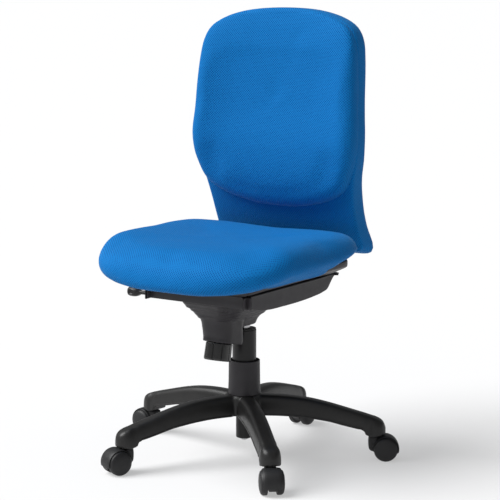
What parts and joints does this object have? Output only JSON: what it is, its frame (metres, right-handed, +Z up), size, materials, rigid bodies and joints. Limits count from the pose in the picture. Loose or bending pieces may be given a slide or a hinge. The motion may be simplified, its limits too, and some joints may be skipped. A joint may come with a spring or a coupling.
{
  "type": "swivel office chair",
  "caption": "Armless swivel office chair with a five-arm caster base, gas lift, synchronised seat and back tilt, and fully upholstered seat and high back.",
  "frame": {"origin": "on the column axis at floor level", "axes": "+Z up, the sitter faces -Y, +X is the sitter's left"},
  "size_m": [0.6183, 0.6199, 0.932],
  "materials": {
    "base_plastic": "fine moulded grain, low sheen",
    "caster_plastic": "moulded black, low sheen",
    "dark_plastic": "fine textured dark grey",
    "column_paint": "black powder coat, semi-gloss",
    "chrome": "polished",
    "steel": "zinc plated",
    "bracket_paint": "black powder coat",
    "knob_plastic": "gloss black, fluted",
    "lever_plastic": "grey moulded",
    "seat_fabric": "blue spacer mesh with a fine diamond weave",
    "back_fabric": "blue spacer mesh with a fine diamond weave",
    "plywood": "raw birch plywood"
  },
  "bodies": {
    "base": {"star_base": "base_plastic", "column_sleeve": "dark_plastic", "standpipe": "column_paint", "guide_bush": "caster_plastic", "thrust_bearing": "steel", "caster_stems": "steel"},
    "column_rod": {"piston_rod": "steel", "bearing_washer": "steel", "retaining_clip": "steel"},
    "lift": {"pressure_tube": "chrome", "mechanism_housing": "bracket_paint", "under_cover": "dark_plastic", "recline_spring": "steel"},
    "valve": {"release_pin": "caster_plastic"},
    "lever": {"lever_fork": "caster_plastic"},
    "lever_bar": {"lever_rod": "steel", "lever_grip": "lever_plastic"},
    "knob": {"tension_knob": "knob_plastic", "tension_bolt": "steel"},
    "nut": {"tension_nut": "steel"},
    "back": {"back_bracket": "bracket_paint", "recline_shaft": "steel", "link_pin": "steel", "back_panel": "plywood", "back_nuts": "steel", "back_bolts": "steel", "back_cover": "back_fabric", "back_pad": "back_fabric"},
    "seat": {"seat_carrier": "dark_plastic", "seat_pivot_pin": "steel", "seat_shell": "dark_plastic", "seat_board": "plywood", "seat_nuts": "steel", "seat_bolts": "steel", "seat_cushion": "seat_fabric"},
    "caster_1": {"caster_hood_1": "caster_plastic", "caster_axle_1": "steel"},
    "left_roller_1": {"wheel_left_1": "caster_plastic"},
    "right_roller_1": {"wheel_right_1": "caster_plastic"},
    "caster_2": {"caster_hood_2": "caster_plastic", "caster_axle_2": "steel"},
    "left_roller_2": {"wheel_left_2": "caster_plastic"},
    "right_roller_2": {"wheel_right_2": "caster_plastic"},
    "caster_3": {"caster_hood_3": "caster_plastic", "caster_axle_3": "steel"},
    "left_roller_3": {"wheel_left_3": "caster_plastic"},
    "right_roller_3": {"wheel_right_3": "caster_plastic"},
    "caster_4": {"caster_hood_4": "caster_plastic", "caster_axle_4": "steel"},
    "left_roller_4": {"wheel_left_4": "caster_plastic"},
    "right_roller_4": {"wheel_right_4": "caster_plastic"},
    "caster_5": {"caster_hood_5": "caster_plastic", "caster_axle_5": "steel"},
    "left_roller_5": {"wheel_left_5": "caster_plastic"},
    "right_roller_5": {"wheel_right_5": "caster_plastic"}
  },
  "joints": [
    {"name": "seat_swivel", "type": "hinge", "parent": "base", "child": "column_rod", "pos_m": [0, 0, 0.0495], "axis": [0, 0, 1], "continuous": true},
    {"name": "seat_height", "type": "slide", "parent": "column_rod", "child": "lift", "axis": [0, 0, 1], "range_m": [0, 0.1]},
    {"name": "height_lever", "type": "hinge", "parent": "lift", "child": "lever", "pos_m": [-0.036, -0.07, 0.341], "axis": [0, 1, 0], "range_deg": [0, 5], "stiffness_Nm_per_rad": 6, "springref_deg": -5.73},
    {"name": "tilt_lock", "type": "slide", "parent": "lever", "child": "lever_bar", "axis": [-1, 0, 0], "range_m": [0, 0.012]},
    {"name": "valve_press", "type": "slide", "parent": "lift", "child": "valve", "axis": [0, 0, -1], "range_m": [0, 0.0039]},
    {"name": "tension_turn", "type": "hinge", "parent": "lift", "child": "knob", "pos_m": [0, -0.092, 0.257], "axis": [0, 0.2079, 0.9781], "range_deg": [0, 1440]},
    {"name": "nut_rise", "type": "slide", "parent": "lift", "child": "nut", "axis": [0, 0.2079, 0.9781], "range_m": [0, 0.0071], "stiffness_N_per_m": 0.1, "springref_m": 6.534, "deforming": ["recline_spring"]},
    {"name": "back_recline", "type": "hinge", "parent": "lift", "child": "back", "pos_m": [0, 0.04, 0.332], "axis": [-1, 0, 0], "range_deg": [0, 18], "stiffness_Nm_per_rad": 120, "springref_deg": -14.32},
    {"name": "seat_tilt", "type": "hinge", "parent": "lift", "child": "seat", "pos_m": [0, -0.15, 0.36], "axis": [-1, 0, 0], "range_deg": [0, 6.3]},
    {"name": "caster_swivel_1", "type": "hinge", "parent": "base", "child": "caster_1", "pos_m": [-0.12659, -0.24526, 0.04], "axis": [0, 0, 1], "continuous": true},
    {"name": "left_roll_1", "type": "hinge", "parent": "caster_1", "child": "left_roller_1", "pos_m": [-0.13472, -0.26353, 0.025], "axis": [0.9135, -0.4067, 0], "continuous": true},
    {"name": "right_roll_1", "type": "hinge", "parent": "caster_1", "child": "right_roller_1", "pos_m": [-0.13472, -0.26353, 0.025], "axis": [0.9135, -0.4067, 0], "continuous": true},
    {"name": "caster_swivel_2", "type": "hinge", "parent": "base", "child": "caster_2", "pos_m": [0.19414, -0.19618, 0.04], "axis": [0, 0, 1], "continuous": true},
    {"name": "left_roll_2", "type": "hinge", "parent": "caster_2", "child": "left_roller_2", "pos_m": [0.20699, -0.2115, 0.025], "axis": [0.766, 0.6428, 0], "continuous": true},
    {"name": "right_roll_2", "type": "hinge", "parent": "caster_2", "child": "right_roller_2", "pos_m": [0.20699, -0.2115, 0.025], "axis": [0.766, 0.6428, 0], "continuous": true},
    {"name": "caster_swivel_3", "type": "hinge", "parent": "base", "child": "caster_3", "pos_m": [0.24657, 0.12401, 0.04], "axis": [0, 0, 1], "continuous": true},
    {"name": "left_roll_3", "type": "hinge", "parent": "caster_3", "child": "left_roller_3", "pos_m": [0.26315, 0.1352, 0.025], "axis": [-0.5592, 0.829, 0], "continuous": true},
    {"name": "right_roll_3", "type": "hinge", "parent": "caster_3", "child": "right_roller_3", "pos_m": [0.26315, 0.1352, 0.025], "axis": [-0.5592, 0.829, 0], "continuous": true},
    {"name": "caster_swivel_4", "type": "hinge", "parent": "base", "child": "caster_4", "pos_m": [-0.04175, 0.27282, 0.04], "axis": [0, 0, 1], "continuous": true},
    {"name": "left_roll_4", "type": "hinge", "parent": "caster_4", "child": "left_roller_4", "pos_m": [-0.04105, 0.29281, 0.025], "axis": [-0.9994, 0.0349, 0], "continuous": true},
    {"name": "right_roll_4", "type": "hinge", "parent": "caster_4", "child": "right_roller_4", "pos_m": [-0.04105, 0.29281, 0.025], "axis": [-0.9994, 0.0349, 0], "continuous": true},
    {"name": "caster_swivel_5", "type": "hinge", "parent": "base", "child": "caster_5", "pos_m": [-0.27237, 0.0446, 0.04], "axis": [0, 0, 1], "continuous": true},
    {"name": "left_roll_5", "type": "hinge", "parent": "caster_5", "child": "left_roller_5", "pos_m": [-0.29218, 0.04739, 0.025], "axis": [-0.1392, -0.9903, 0], "continuous": true},
    {"name": "right_roll_5", "type": "hinge", "parent": "caster_5", "child": "right_roller_5", "pos_m": [-0.29218, 0.04739, 0.025], "axis": [-0.1392, -0.9903, 0], "continuous": true}
  ],
  "couplings": [
    {"joint": "valve_press", "follows": "height_lever", "m_per_rad": 0.0435},
    {"joint": "nut_rise", "follows": "tension_turn", "m_per_rad": 0.0002785},
    {"joint": "seat_tilt", "follows": "back_recline", "ratio": 0.345}
  ]
}
